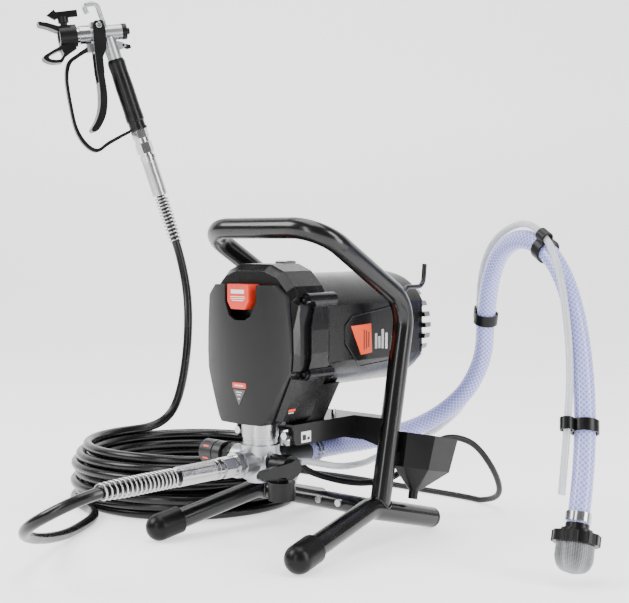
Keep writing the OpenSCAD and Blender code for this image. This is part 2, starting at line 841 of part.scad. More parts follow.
// strap round both hoses at a route point
module clip(i, j) {
  a = suction_route[i];
  b = return_route[j];
  t = tangents(suction_route)[i];
  s = carry(unit(b - a), t);
  u = cross(t, s);
  gap = (b - a) * s;
  multmatrix([[s[0], u[0], t[0], a[0]], [s[1], u[1], t[1], a[1]], [s[2], u[2], t[2], a[2]],
    [0, 0, 0, 1]]) translate([0, 0, -7]) difference() {
      union() {
        cylinder(r = suction_d / 2 + strap_room + 1.8, h = 14);
        translate([gap, 0, 0]) cylinder(r = return_d / 2 + strap_room + 1.8, h = 14);
        translate([0, -3, 0]) cube([gap, 6, 14]);
      }
      translate([0, 0, -1]) cylinder(r = suction_d / 2 + strap_room, h = 16);
      translate([gap, 0, -1]) cylinder(r = return_d / 2 + strap_room, h = 16);
    }
}

module tube_clips() {
  color("#161617") {
    clip(7, 10);
    clip(11, 14);
    clip(15, 18);
  }
}

module strainer_head() {
  color("#1a1a1b") aim(strainer_top(), -strainer_dir()) {
    difference() {
      union() {
        cylinder(r = suction_d / 2 + 1, h = 6);
        translate([0, 0, 6]) cylinder(r = 17, h = 4);
        translate([0, 0, 10]) cylinder(r = 25, h = 12);
      }
      translate([0, 0, -1]) cylinder(r = 8, h = 24);
    }
    for (k = [0 : 11]) rotate(30 * k) translate([24.5, 0, 10]) cylinder(r = 1.8, h = 12);
  }
}

module strainer_mesh() {
  color("#9fa2a5") aim(strainer_top(), -strainer_dir()) translate([0, 0, 22]) rotate_extrude()
    polygon([[18, 0], [20, 0], [20, 16], [17, 24], [10, 29], [0, 31], [0, 29.5], [9, 27.5],
      [15.5, 23], [18, 15]]);
}

// ---------- power cord ----------
module cord_strain_relief() {
  color("#151516") difference() {
    union() {
      z_rod(cord_hole[0], cord_hole[1], 142, 146.8, 8);
      z_rod(cord_hole[0], cord_hole[1], 124, 142, 6);
      z_rod(cord_hole[0], cord_hole[1], 146.8, 158, 4.9);
    }
    z_rod(cord_hole[0], cord_hole[1], 123, 159, cord_d / 2 + 0.1);
  }
}

module power_cord() {
  color("#232324") soft_tube(cord_route, cord_d / 2, 8);
}

module power_cord_coil() {
  color("#232324") translate(cord_coil_mid) rotate_extrude($fn = 72)
    polygon([[38, 0], [61, 0], [61, 18], [57, 22], [42, 22], [38, 18]]);
}

module power_plug() {
  color("#1a1a1b") translate(plug_at) rotate([0, 0, 45]) {
    x_rod(0, 12, 0, 14, 5);
    translate([14, -12, 1]) cube([28, 24, 22]);
    for (s = [-1, 1]) translate([42, 6 * s - 0.75, 9]) cube([18, 1.5, 6.3]);
    x_rod(0, 19, 42, 60, 2.4);
  }
}

// ---------- spray gun, in its own frame: +X forward along the barrel ----------
barrel_z = 17;

module gun_body() {
  color("#b4b6b8") gun_frame() difference() {
    union() {
      x_rod(0, barrel_z, -12, 31, 11);
      x_rod(0, barrel_z, -35, -12, 11.5);
      translate([-11, -9, -12]) cube([22, 18, 46]);
      translate([10, -6, -10]) cube([11, 12, 12.6]);
      on_grip(-34) cylinder(r = 11, h = 34);
      bent_tube([[-11, 0, 24], [-3, 0, 64], [17, 0, 60], [13, 0, 48]], [9, 5], 3.6, 0);
      x_rod(0, barrel_z, 31, 43, 4.95);
      for (y = [-6.5, 4.2]) translate([0, y, 0]) mirror([0, 1, 0]) rotate([90, 0, 0])
        linear_extrude(2.3) polygon([[-22, 4], [-32, 1], [-38, -3], [-38, -6], [-34, -8],
          [-22, -12]]);
    }
    x_rod(0, barrel_z, -30, 44, 2.1);
    translate([-34, 10, -4]) rotate([90, 0, 0]) cylinder(r = 2.05, h = 20);
    translate([0, 20, 28]) rotate([90, 0, 0]) cylinder(r = 2.55, h = 40);
    on_grip(-20) cylinder(r = 5, h = 21);
  }
}

module gun_grip() {
  color("#1a1a1b") gun_frame() on_grip(0) rotate_extrude()
    polygon([[5, 0], [12, 0], [grip_d / 2 - 0.5, 5], [grip_d / 2 - 1, 20], [grip_d / 2 - 0.2, 45],
      [grip_d / 2 - 0.6, 80], [grip_d / 2, 90], [grip_d / 2, 96], [grip_d / 2 - 1.5, 98],
      [grip_d / 2 - 1.5, 107], [5, 107]]);
}

module gun_inlet() {
  color("#cfd1d3") gun_frame() on_grip(0) difference() {
    union() {
      translate([0, 0, 111.3]) cylinder(r = 13, h = 12.8, $fn = 6);
      translate([0, 0, 124]) cylinder(r = 11, h = 7.7);
      translate([0, 0, 107.3]) cylinder(r = 9, h = 4);
      translate([0, 0, 131.7]) cylinder(r = 6.94, h = 14);
    }
    translate([0, 0, 106]) cylinder(r = 3, h = 45);
  }
}

module trigger() {
  color("#161617") gun_frame() difference() {
    union() {
      for (s = [-1, 1]) translate([0, s * 13, 0]) rotate([90, 0, 0]) translate([0, 0, -1.4])
        linear_extrude(2.8) polygon([[-6, 35], [6, 35], [9, 28], [12, -10], [13, -44], [2, -44],
          [1, -20], [-6, -8], [-9, 20]]);
      translate([0, 14.4, 0]) rotate([90, 0, 0]) linear_extrude(28.8) polygon(concat(
        smooth([[13, -36], [12.5, -66], [16.5, -94], [25, -113], [33, -123.5], [34, -127.5]]),
        smooth([[31, -129.5], [23, -126.5], [11, -110], [5, -92], [2.5, -70], [3, -36]])));
      translate([0, 14.4, 28]) rotate([90, 0, 0]) cylinder(r = 2.5, h = 28.8);
    }
    translate([0, 11.6, 0]) rotate([90, 0, 0]) linear_extrude(23.2)
      polygon([[20, -30], [9.5, -66], [14, -96], [22, -112], [12, -118], [-2, -98], [-8, -40]]);
  }
}

module trigger_guard() {
  color("#161617") gun_frame() difference() {
    union() {
      translate([0, 6, 0]) rotate([90, 0, 0]) linear_extrude(12) polygon(concat(
        smooth([[21, -2], [39, -11.5], [54, -22], [60.5, -46], [60.5, -84], [57.5, -122],
          [47, -147], [30, -160], [10, -151], [-14, -141], [-30, -135.5]]),
        smooth([[-30, -130.5], [-14, -136], [10, -145.5], [28, -154.5], [42.5, -143.5],
          [53, -119.5], [56, -84], [56, -48], [49.5, -26], [37, -16.5], [21, -9]])));
      on_grip(107) cylinder(r = 14, h = 4);
    }
    on_grip(106) cylinder(r = 9.3, h = 6);
    on_grip(111) cylinder(r = 16, h = 40);
    on_grip(67) cylinder(r = 18, h = 40);
  }
}

module trigger_lock() {
  color("#161617") gun_frame() union() {
    translate([-34, 4, -4]) rotate([90, 0, 0]) cylinder(r = 3.5, h = 8);
    translate([-34, 6.5, -4]) rotate([90, 0, 0]) cylinder(r = 2, h = 13);
    translate([0, 3, 0]) rotate([90, 0, 0]) linear_extrude(6)
      polygon([[-35, -1], [-45, -4], [-46, -9], [-40, -10], [-34, -7]]);
  }
}

module gun_needle() {
  color("#c9ccd0") gun_frame() x_rod(0, barrel_z, -25, 30, 2);
}

module nose_nut() {
  color("#c3c5c8") gun_frame() difference() {
    union() {
      x_rod(0, barrel_z, 14, 30, 14);
      x_rod(0, barrel_z, 30, 34, 12);
    }
    x_rod(0, barrel_z, 13, 31, 11);
    x_rod(0, barrel_z, 30, 35, 5.02);
  }
}

module tip_guard() {
  color("#1a1a1b") gun_frame() difference() {
    union() {
      x_rod(0, barrel_z, 34.2, 60, 17);
      translate([0, 13, 0]) rotate([90, 0, 0]) linear_extrude(26) polygon([[42, 30], [58, 31],
        [76, 38], [89, 41], [88, 35], [76, 31], [62, 24], [42, 26]]);
      translate([0, 13, 0]) rotate([90, 0, 0]) linear_extrude(26) polygon(concat([[40, 6]],
        smooth([[60, 3], [80, -6], [88.5, -11], [86, -17], [76, -21.5], [62, -22]]),
        [[56, -14], [44, -7], [38, -4]]));
    }
    translate([0, 20, 0]) rotate([90, 0, 0]) linear_extrude(40)
      polygon(smooth([[60, -3], [72, -7], [80, -11], [80, -14.5], [73, -17], [64, -17], [58, -10]]));
    x_rod(0, barrel_z, 34, 45, 5);
    x_rod(0, barrel_z, 45, 61, 9);
    translate([50, 0, 3]) cylinder(r = 5.35, h = 40);
    translate([64, -14, 10]) cube([40, 28, 14]);
  }
}

module spray_tip() {
  color("#1c1c1e") gun_frame() union() {
    translate([50, 0, 4]) cylinder(r = 5.3, h = 33);
    translate([50, 0, 37]) cylinder(r = 8, h = 9);
    translate([0, 3, 0]) rotate([90, 0, 0]) linear_extrude(6) polygon([[74, 50], [62, 58],
      [60, 54], [28, 55], [28, 45], [60, 44], [62, 42]]);
  }
}

module gun_cap() {
  color("#1b1b1c") gun_frame() {
    x_rod(0, barrel_z, -42, -35, 12);
    x_rod(0, barrel_z, -47, -42, 5);
  }
}

place() handle_frame();
place() left_rail();
place() right_rail();
place() base_crossbar();
place() mount_bracket();
place() hose_hook();
place() foot_caps();
place() drip_cup();
place() fasteners();
place() front_shell();
place() motor_shell();
place() vent_cap();
place() front_cover();
place() cover_latch();
place() power_switch();
place() gear_case();
place() motor_can();
place() motor_bearings();
place() armature();
place() cooling_fan();
place() reduction_gear();
place() piston();
place() pump_collar();
place() pump_body();
place() pump_packing();
place() pressure_valve();
place() pressure_knob();
place() valve_body();
place() prime_lever();
place() return_nipple();
place() suction_fitting();
place() hose_clamps();
place() outlet_nipple();
place() hose_end_pump();
place() spring_guard_pump();
place() hose_tail();
place() hose_coil();
place() hose_riser();
place() spring_guard_gun();
place() hose_end_gun();
place() suction_hose();
place() return_tube();
place() tube_clips();
place() strainer_head();
place() strainer_mesh();
place() cord_strain_relief();
place() power_cord();
place() power_cord_coil();
place() power_plug();
place() gun_body();
place() gun_grip();
place() gun_inlet();
place() trigger();
place() trigger_guard();
place() trigger_lock();
place() gun_needle();
place() nose_nut();
place() tip_guard();
place() spray_tip();
place() gun_cap();
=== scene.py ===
import math

import bmesh
import bpy
import numpy as np
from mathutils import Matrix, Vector


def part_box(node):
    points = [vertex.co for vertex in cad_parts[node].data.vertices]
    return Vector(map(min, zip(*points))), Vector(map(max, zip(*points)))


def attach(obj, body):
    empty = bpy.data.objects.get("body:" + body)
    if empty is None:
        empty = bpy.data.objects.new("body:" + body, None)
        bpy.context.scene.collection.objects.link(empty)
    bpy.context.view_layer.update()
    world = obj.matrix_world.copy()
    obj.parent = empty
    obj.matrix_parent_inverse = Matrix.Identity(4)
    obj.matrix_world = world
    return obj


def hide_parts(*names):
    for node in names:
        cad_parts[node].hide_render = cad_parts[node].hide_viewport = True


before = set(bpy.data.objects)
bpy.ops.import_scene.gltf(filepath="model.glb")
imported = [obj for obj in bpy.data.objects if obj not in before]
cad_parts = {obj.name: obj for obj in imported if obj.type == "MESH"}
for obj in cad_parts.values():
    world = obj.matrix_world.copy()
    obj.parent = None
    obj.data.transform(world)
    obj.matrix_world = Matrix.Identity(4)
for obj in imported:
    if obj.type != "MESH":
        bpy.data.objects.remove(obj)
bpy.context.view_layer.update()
MM = 0.001

# Drawing frame: x from the stand's middle plane, y from the rail apex, z from the floor.
_lo, _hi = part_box("handle_frame")
HANDLE_REACH = 0.1045  # the handle's front stands this far before the rail apex
SHIFT = Vector(((_lo.x + _hi.x) / 2, _lo.y + HANDLE_REACH, 0.0))

# The photo's camera, fitted to the stand: place in drawing millimetres, angles in degrees, focal length.
CAMERA_AT, CAMERA_YAW, CAMERA_PITCH, CAMERA_LENS = (1005.8, -1145.5, 370.8), 41.13, 3.04, 70.6


def at(x, y, z):
    return Vector((x, y, z)) * MM + SHIFT


# ---------- camera ----------
def make_camera():
    cam = bpy.data.cameras.new("camera")
    cam.sensor_width = 36.0
    cam.lens = CAMERA_LENS
    cam.clip_end = 20
    obj = bpy.data.objects.new("camera", cam)
    bpy.context.scene.collection.objects.link(obj)
    yaw, pitch = math.radians(CAMERA_YAW), math.radians(CAMERA_PITCH)
    level = math.cos(pitch)
    forward = Vector((-math.sin(yaw) * level, math.cos(yaw) * level, -math.sin(pitch)))
    obj.location = at(*CAMERA_AT)
    obj.rotation_euler = forward.to_track_quat("-Z", "Y").to_euler()
    bpy.context.scene.camera = obj


make_camera()


# ---------- materials ----------
def principled(name):
    m = bpy.data.materials.new(name)
    m.use_nodes = True
    return m, m.node_tree.nodes, m.node_tree.links, m.node_tree.nodes["Principled BSDF"]


def material(name, color, rough=0.4, metal=0.0, coat=0.0, grain=0.0, grain_size=400.0, soft=0.0,
             mottle=0.0, spread=0.0, transmission=0.0, ior=1.5, brushed=0.0, spec=0.5):
    """Plain finish: grain is fine bump, soft rounds edges by so many millimetres, mottle varies the
    colour, spread varies the roughness, and brushed stretches the grain along one axis."""
    m, nodes, links, bsdf = principled(name)
    bsdf.inputs["Base Color"].default_value = (*color, 1)
    bsdf.inputs["Roughness"].default_value = rough
    bsdf.inputs["Metallic"].default_value = metal
    bsdf.inputs["Coat Weight"].default_value = coat
    bsdf.inputs["Coat Roughness"].default_value = 0.12
    bsdf.inputs["IOR"].default_value = ior
    bsdf.inputs["Specular IOR Level"].default_value = spec
    bsdf.inputs["Transmission Weight"].default_value = transmission
    coord = nodes.new("ShaderNodeTexCoord")
    if mottle or spread:
        big = nodes.new("ShaderNodeTexNoise")
        big.inputs["Scale"].default_value = 35
        big.inputs["Detail"].default_value = 5
        links.new(coord.outputs["Object"], big.inputs["Vector"])
        if mottle:
            ramp = nodes.new("ShaderNodeMapRange")
            ramp.inputs["To Min"].default_value = 1 - mottle
            ramp.inputs["To Max"].default_value = 1 + mottle
            links.new(big.outputs["Fac"], ramp.inputs["Value"])
            mix = nodes.new("ShaderNodeMix")
            mix.data_type = "RGBA"
            mix.blend_type = "MULTIPLY"
            mix.inputs["Factor"].default_value = 1
            mix.inputs["A"].default_value = (*color, 1)
            links.new(ramp.outputs["Result"], mix.inputs["B"])
            links.new(mix.outputs["Result"], bsdf.inputs["Base Color"])
        if spread:
            rr = nodes.new("ShaderNodeMapRange")
            rr.inputs["From Min"].default_value = 0.3
            rr.inputs["From Max"].default_value = 0.7
            rr.inputs["To Min"].default_value = max(0.03, rough - spread)
            rr.inputs["To Max"].default_value = rough + spread
            links.new(big.outputs["Fac"], rr.inputs["Value"])
            links.new(rr.outputs["Result"], bsdf.inputs["Roughness"])
    normal = None
    if soft:
        bevel = nodes.new("ShaderNodeBevel")
        bevel.samples = 4
        bevel.inputs["Radius"].default_value = soft * MM
        normal = bevel.outputs["Normal"]
    if grain:
        fine = nodes.new("ShaderNodeTexNoise")
        fine.inputs["Scale"].default_value = grain_size
        fine.inputs["Detail"].default_value = 3
        if brushed:
            stretch = nodes.new("ShaderNodeMapping")
            stretch.inputs["Scale"].default_value = (1, 1, brushed)
            links.new(coord.outputs["Object"], stretch.inputs["Vector"])
            links.new(stretch.outputs["Vector"], fine.inputs["Vector"])
        else:
            links.new(coord.outputs["Object"], fine.inputs["Vector"])
        bump = nodes.new("ShaderNodeBump")
        bump.inputs["Strength"].default_value = grain
        bump.inputs["Distance"].default_value = 0.0004
        links.new(fine.outputs["Fac"], bump.inputs["Height"])
        if normal:
            links.new(normal, bump.inputs["Normal"])
        normal = bump.outputs["Normal"]
    if normal:
        links.new(normal, bsdf.inputs["Normal"])
    return m


def braided():
    """Blue-tinted clear hose wall with a white thread net, laid out in the tube's own coordinates."""
    pitch, threads = 0.0062, 12  # metres between threads along the hose, and threads round it
    m, nodes, links, bsdf = principled("braided_pvc")
    uv = nodes.new("ShaderNodeTexCoord")
    split = nodes.new("ShaderNodeSeparateXYZ")
    links.new(uv.outputs["UV"], split.inputs["Vector"])
    lines = []
    for sign in (1, -1):
        along = nodes.new("ShaderNodeMath")
        along.operation = "MULTIPLY"
        along.inputs[1].default_value = 1 / pitch
        links.new(split.outputs["X"], along.inputs[0])
        around = nodes.new("ShaderNodeMath")
        around.operation = "MULTIPLY_ADD"
        around.inputs[1].default_value = threads * sign
        links.new(split.outputs["Y"], around.inputs[0])
        links.new(along.outputs[0], around.inputs[2])
        frac = nodes.new("ShaderNodeMath")
        frac.operation = "PINGPONG"
        frac.inputs[1].default_value = 0.5
        links.new(around.outputs[0], frac.inputs[0])
        line = nodes.new("ShaderNodeMapRange")
        line.interpolation_type = "SMOOTHSTEP"
        line.inputs["From Min"].default_value = 0.05
        line.inputs["From Max"].default_value = 0.17
        line.inputs["To Min"].default_value = 1
        line.inputs["To Max"].default_value = 0
        links.new(frac.outputs[0], line.inputs["Value"])
        lines.append(line.outputs["Result"])
    net = nodes.new("ShaderNodeMath")
    net.operation = "MAXIMUM"
    links.new(lines[0], net.inputs[0])
    links.new(lines[1], net.inputs[1])
    color = nodes.new("ShaderNodeMix")
    color.data_type = "RGBA"
    color.inputs["A"].default_value = (0.41, 0.43, 0.90, 1)
    color.inputs["B"].default_value = (0.66, 0.68, 0.98, 1)
    links.new(net.outputs[0], color.inputs["Factor"])
    links.new(color.outputs["Result"], bsdf.inputs["Base Color"])
    wet = nodes.new("ShaderNodeMapRange")
    wet.inputs["To Min"].default_value = 0.45
    wet.inputs["To Max"].default_value = 0.25
    links.new(net.outputs[0], wet.inputs["Value"])
    links.new(wet.outputs["Result"], bsdf.inputs["Transmission Weight"])
    bsdf.inputs["Roughness"].default_value = 0.22
    bsdf.inputs["IOR"].default_value = 1.2
    bsdf.inputs["Coat Weight"].default_value = 0.7
    bsdf.inputs["Coat Roughness"].default_value = 0.08
    bump = nodes.new("ShaderNodeBump")
    bump.inputs["Strength"].default_value = 0.25
    bump.inputs["Distance"].default_value = 0.0005
    links.new(net.outputs[0], bump.inputs["Height"])
    links.new(bump.outputs["Normal"], bsdf.inputs["Normal"])
    return m


def backdrop():
    """Pale studio floor with a little light of its own, so that it stays near white."""
    m, nodes, links, bsdf = principled("floor")
    bsdf.inputs["Base Color"].default_value = (0.88, 0.88, 0.88, 1)
    bsdf.inputs["Roughness"].default_value = 0.8
    bsdf.inputs["Emission Color"].default_value = (1, 1, 1, 1)
    bsdf.inputs["Emission Strength"].default_value = 1.1
    return m


MAT = {
    "tube": material("black_gloss_paint", (0.003, 0.003, 0.0032), 0.24, coat=0.25, spec=0.35, grain=0.03,
                     grain_size=260, spread=0.04),
    "plate": material("black_sheet_paint", (0.004, 0.004, 0.0043), 0.32, coat=0.1, spec=0.25, grain=0.06,
                      grain_size=500, soft=0.5),
    "rubber": material("foot_rubber", (0.003, 0.003, 0.003), 0.34, spec=0.2, grain=0.08, grain_size=500,
                       soft=0.8, mottle=0.15),
    "black": material("black_plastic", (0.0035, 0.0035, 0.0038), 0.32, spec=0.25, grain=0.08,
                      grain_size=700, soft=0.6, spread=0.05),
    "shell": material("dark_abs", (0.004, 0.004, 0.0043), 0.27, coat=0.12, spec=0.28, grain=0.07,
                      grain_size=900, soft=0.9, spread=0.05),
    "cover": material("cover_abs", (0.010, 0.010, 0.0105), 0.34, coat=0.05, spec=0.3, grain=0.08,
                      grain_size=900, soft=0.9, spread=0.04),
    "red": material("red_label", (0.72, 0.045, 0.02), 0.32, coat=0.3, grain=0.03, soft=0.5),
    "orange": material("orange_label", (0.83, 0.085, 0.02), 0.35, coat=0.3, grain=0.02),
    "grey_label": material("grey_label", (0.09, 0.09, 0.095), 0.4, coat=0.2, grain=0.02),
    "pale_label": material("pale_label", (0.75, 0.75, 0.74), 0.45, grain=0.02),
    "cast": material("cast_aluminium", (0.40, 0.41, 0.42), 0.34, metal=1, grain=0.18, grain_size=450,
                     soft=0.7, mottle=0.1, spread=0.08),
    "steel": material("turned_steel", (0.40, 0.40, 0.40), 0.22, metal=1, grain=0.12, grain_size=300,
                      brushed=14, soft=0.5, spread=0.06),
    "zinc": material("bright_zinc", (0.47, 0.47, 0.48), 0.18, metal=1, grain=0.05, grain_size=500,
                     soft=0.5, spread=0.06),
    "chrome": material("chrome", (0.60, 0.60, 0.62), 0.09, metal=1, soft=0.4, grain=0.02),
    "case": material("drive_case", (0.40, 0.41, 0.42), 0.45, metal=1, grain=0.2, soft=0.7, mottle=0.12),
    "copper": material("windings", (0.50, 0.20, 0.09), 0.35, metal=1, grain=0.3, grain_size=700,
                       mottle=0.25),
    "packing": material("packing_ring", (0.72, 0.70, 0.62), 0.5, grain=0.05),
    "knob": material("knob_grey", (0.022, 0.022, 0.023), 0.36, metal=0.2, grain=0.1, soft=0.7),
    "dark_metal": material("dark_fitting", (0.11, 0.115, 0.12), 0.34, metal=0.8, grain=0.1, soft=0.6,
                           spread=0.06),
    "hose": material("hose_cover", (0.004, 0.004, 0.0045), 0.27, coat=0.12, spec=0.3, grain=0.10,
                     grain_size=380, mottle=0.2, spread=0.05),
    "cord": material("cord_cover", (0.005, 0.005, 0.005), 0.4, spec=0.25, grain=0.06, grain_size=500,
                     mottle=0.15),
    "braid": braided(),
    "clear": material("clear_pvc", (0.80, 0.82, 0.84), 0.18, transmission=0.55, ior=1.25, coat=0.6,
                      grain=0.02),
    "mesh": material("woven_wire", (0.42, 0.43, 0.44), 0.32, metal=1, mottle=0.2),
    # painted shade: dark metal for the strainer's cup, standing for the shaded hollow seen between the wires
    "mesh_painted_shade": material("painted_shade_behind_wire", (0.10, 0.10, 0.105), 0.5, metal=0.7, grain=0.3, grain_size=900),
    "ink": material("label_ink", (0.012, 0.012, 0.013), 0.45, grain=0.02),
    "screw": material("dark_screw", (0.02, 0.02, 0.021), 0.25, metal=0.9, grain=0.03, soft=0.3),
    "brass": material("carbide_tip", (0.60, 0.40, 0.13), 0.25, metal=1, soft=0.4),
    "floor": backdrop(),
}

NODE_MAT = {
    "handle_frame": "tube", "left_rail": "tube", "right_rail": "tube", "base_crossbar": "tube",
    "mount_bracket": "plate", "hose_hook": "tube", "foot_caps": "rubber", "drip_cup": "black",
    "fasteners": "zinc", "front_shell": "shell", "motor_shell": "shell", "vent_cap": "shell",
    "front_cover": "cover", "cover_latch": "red", "power_switch": "zinc", "gear_case": "case",
    "motor_can": "steel", "motor_bearings": "steel", "armature": "copper", "cooling_fan": "black",
    "reduction_gear": "steel", "piston": "steel", "pump_collar": "steel", "pump_body": "cast",
    "pump_packing": "packing", "pressure_valve": "black", "pressure_knob": "knob",
    "valve_body": "black", "prime_lever": "black", "return_nipple": "chrome",
    "suction_fitting": "dark_metal", "hose_clamps": "zinc", "outlet_nipple": "zinc",
    "hose_end_pump": "zinc", "spring_guard_pump": "zinc", "spring_guard_gun": "zinc",
    "hose_end_gun": "zinc", "tube_clips": "black", "strainer_head": "black",
    # the strainer's cup takes the painted shade of its hollow inside; the wires over it are added below
    "strainer_mesh": "mesh_painted_shade", "cord_strain_relief": "cord", "power_plug": "cord",
    "gun_body": "cast", "gun_grip": "black", "gun_inlet": "zinc", "trigger": "black",
    "trigger_guard": "black", "trigger_lock": "black", "gun_needle": "steel", "nose_nut": "zinc",
    "tip_guard": "black", "spray_tip": "black", "gun_cap": "black", "hose_tail": "hose",
    "hose_coil": "hose", "hose_riser": "hose", "suction_hose": "braid", "return_tube": "clear",
    "power_cord": "cord", "power_cord_coil": "cord",
}


def dress_nodes():
    for name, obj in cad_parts.items():
        obj.data.materials.clear()
        obj.data.materials.append(MAT[NODE_MAT[name]])


dress_nodes()


# ---------- mesh making ----------
def new_mesh(name, verts, faces, mat, body="base", uvs=None):
    me = bpy.data.meshes.new(name)
    me.from_pydata([tuple(v) for v in verts], [], faces)
    if uvs is not None:
        layer = me.uv_layers.new(name="UVMap")
        for poly in me.polygons:
            for li, uv in zip(poly.loop_indices, uvs[poly.index]):
                layer.data[li].uv = uv
    me.materials.append(MAT[mat])
    me.update()
    me.shade_smooth()
    obj = bpy.data.objects.new(name, me)
    bpy.context.scene.collection.objects.link(obj)
    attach(obj, body)
    return obj


def from_bmesh(name, bm, mat, body):
    me = bpy.data.meshes.new(name)
    bmesh.ops.recalc_face_normals(bm, faces=bm.faces[:])
    bm.to_mesh(me)
    bm.free()
    me.materials.append(MAT[mat])
    obj = bpy.data.objects.new(name, me)
    bpy.context.scene.collection.objects.link(obj)
    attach(obj, body)
    return obj


def spline(points, step):
    """Points every step millimetres along a smooth curve through the given ones."""
    p = [np.array(q, float) for q in points]
    out = []
    for i in range(len(p) - 1):
        a, b, c, d = p[max(i - 1, 0)], p[i], p[i + 1], p[min(i + 2, len(p) - 1)]
        if i == 0:
            a = 2 * b - c
        if i == len(p) - 2:
            d = 2 * c - b
        t0, t1 = 0.0, np.linalg.norm(b - a) ** 0.5
        t2 = t1 + np.linalg.norm(c - b) ** 0.5
        t3 = t2 + np.linalg.norm(d - c) ** 0.5
        n = max(2, int(np.linalg.norm(c - b) / 2))
        for t in np.linspace(t1, t2, n, endpoint=False):
            a1 = (t1 - t) / (t1 - t0) * a + (t - t0) / (t1 - t0) * b
            a2 = (t2 - t) / (t2 - t1) * b + (t - t1) / (t2 - t1) * c
            a3 = (t3 - t) / (t3 - t2) * c + (t - t2) / (t3 - t2) * d
            b1 = (t2 - t) / (t2 - t0) * a1 + (t - t0) / (t2 - t0) * a2
            b2 = (t3 - t) / (t3 - t1) * a2 + (t - t1) / (t3 - t1) * a3
            out.append((t2 - t) / (t2 - t1) * b1 + (t - t1) / (t2 - t1) * b2)
    out.append(p[-1])
    out = np.array(out)
    s = np.concatenate([[0], np.cumsum(np.linalg.norm(np.diff(out, axis=0), axis=1))])
    n = max(2, int(round(s[-1] / step)) + 1)
    want = np.linspace(0, s[-1], n)
    return np.stack([np.interp(want, s, out[:, k]) for k in range(3)], axis=1)


def frames_along(path):
    """Two directions across the path at each of its points, carried along without twisting."""
    t = np.gradient(path, axis=0)
    t /= np.linalg.norm(t, axis=1)[:, None]
    n = np.cross([0, 0, 1] if abs(t[0][2]) < 0.9 else [0, 1, 0], t[0])
    n /= np.linalg.norm(n)
    out = []
    for i in range(len(path)):
        n = n - (n @ t[i]) * t[i]
        n /= np.linalg.norm(n)
        out.append((n.copy(), np.cross(t[i], n)))
    return out


def tube(name, path, radius, mat, body="base", sides=16, bore=None):
    """Swept tube through a path in drawing millimetres. With a bore it is hollow, open-ended and rimmed."""
    path = np.asarray(path, float)
    side = frames_along(path)
    run = np.concatenate([[0], np.cumsum(np.linalg.norm(np.diff(path, axis=0), axis=1))]) * MM
    loops = [(radius, 1)] if bore is None else [(radius, 1), (bore, -1)]
    verts, faces, uvs, m = [], [], [], len(path)
    for r, way in loops:
        base = len(verts)
        for p, (n, b) in zip(path, side):
            for k in range(sides):
                a = 2 * math.pi * k / sides
                verts.append(at(*(p + r * (math.cos(a) * n + math.sin(a) * b))))
        for i in range(m - 1):
            for k in range(sides):
                k2 = (k + 1) % sides
                near, far = base + i * sides, base + (i + 1) * sides
                quad = [near + k, near + k2, far + k2, far + k]
                a0, a1 = k / sides, (k + 1) / sides
                uv = [(run[i], a0), (run[i], a1), (run[i + 1], a1), (run[i + 1], a0)]
                if way < 0:
                    quad, uv = quad[::-1], uv[::-1]
                faces.append(quad)
                uvs.append(uv)
    if bore is None:
        faces += [list(range(sides))[::-1], [(m - 1) * sides + k for k in range(sides)]]
        uvs += [[(0, 0)] * sides] * 2
    else:
        inner = m * sides
        for end in (0, m - 1):
            for k in range(sides):
                k2 = (k + 1) % sides
                quad = [end * sides + k, end * sides + k2, inner + end * sides + k2, inner + end * sides + k]
                faces.append(quad[::-1] if end == 0 else quad)
                uvs.append([(0, 0)] * 4)
    obj = new_mesh(name, verts, faces, mat, body, uvs=uvs)
    obj.data.set_sharp_from_angle(angle=math.radians(50))
    return obj


def eased(path, rounds):
    """Spreads the tight bends of an evenly cut path; its ends stay where they are."""
    path = path.copy()
    for _ in range(rounds):
        path[1:-1] = (path[:-2] + 2 * path[1:-1] + path[2:]) / 4
    return path


def above_floor(path, radius):
    """Lifts any part of a path that would sink the cord into the floor."""
    path[:, 2] = np.maximum(path[:, 2], radius + 0.05)
    return path


# ---------- gun frame ----------
# Millimetres in the gun's own frame: x along the barrel to the tip, z up; the hose runs on down the grip.
GUN_AT, YAW, TILT = np.array([-480.7, 63.0, 660.0]), math.radians(240), math.radians(8)
_ry = np.array([[math.cos(TILT), 0, math.sin(TILT)], [0, 1, 0], [-math.sin(TILT), 0, math.cos(TILT)]])
_rz = np.array([[math.cos(YAW), -math.sin(YAW), 0], [math.sin(YAW), math.cos(YAW), 0], [0, 0, 1]])
GUN = _rz @ _ry
GRIP_TOP = np.array([-19.5, 0, -24.0])
GRIP_DIR = np.array([-0.180, 0, -0.9837]) / math.hypot(0.180, 0.9837)


def gun_point(v):
    return GUN_AT + GUN @ np.array(v, float)


def hose_point(t):
    return gun_point(GRIP_TOP + t * GRIP_DIR)


# ---------- cords ----------
HP_D, SUCTION_D, RETURN_D, MAINS_D = 13.0, 24.0, 8.5, 8.0
COIL_MID = np.array([-274.0, 43.0])
TAIL = [[0, -168, 104], [0, -250, 104], [0, -330, 104], [-5, -358, 99], [-21, -379, 87], [-49, -387, 71],
        [-82, -371, 54], [-120, -332, 36], [-160, -280, 20], [-200, -222, 8.5], [-228, -176, 6.7],
        [-252, -140, 6.7]]
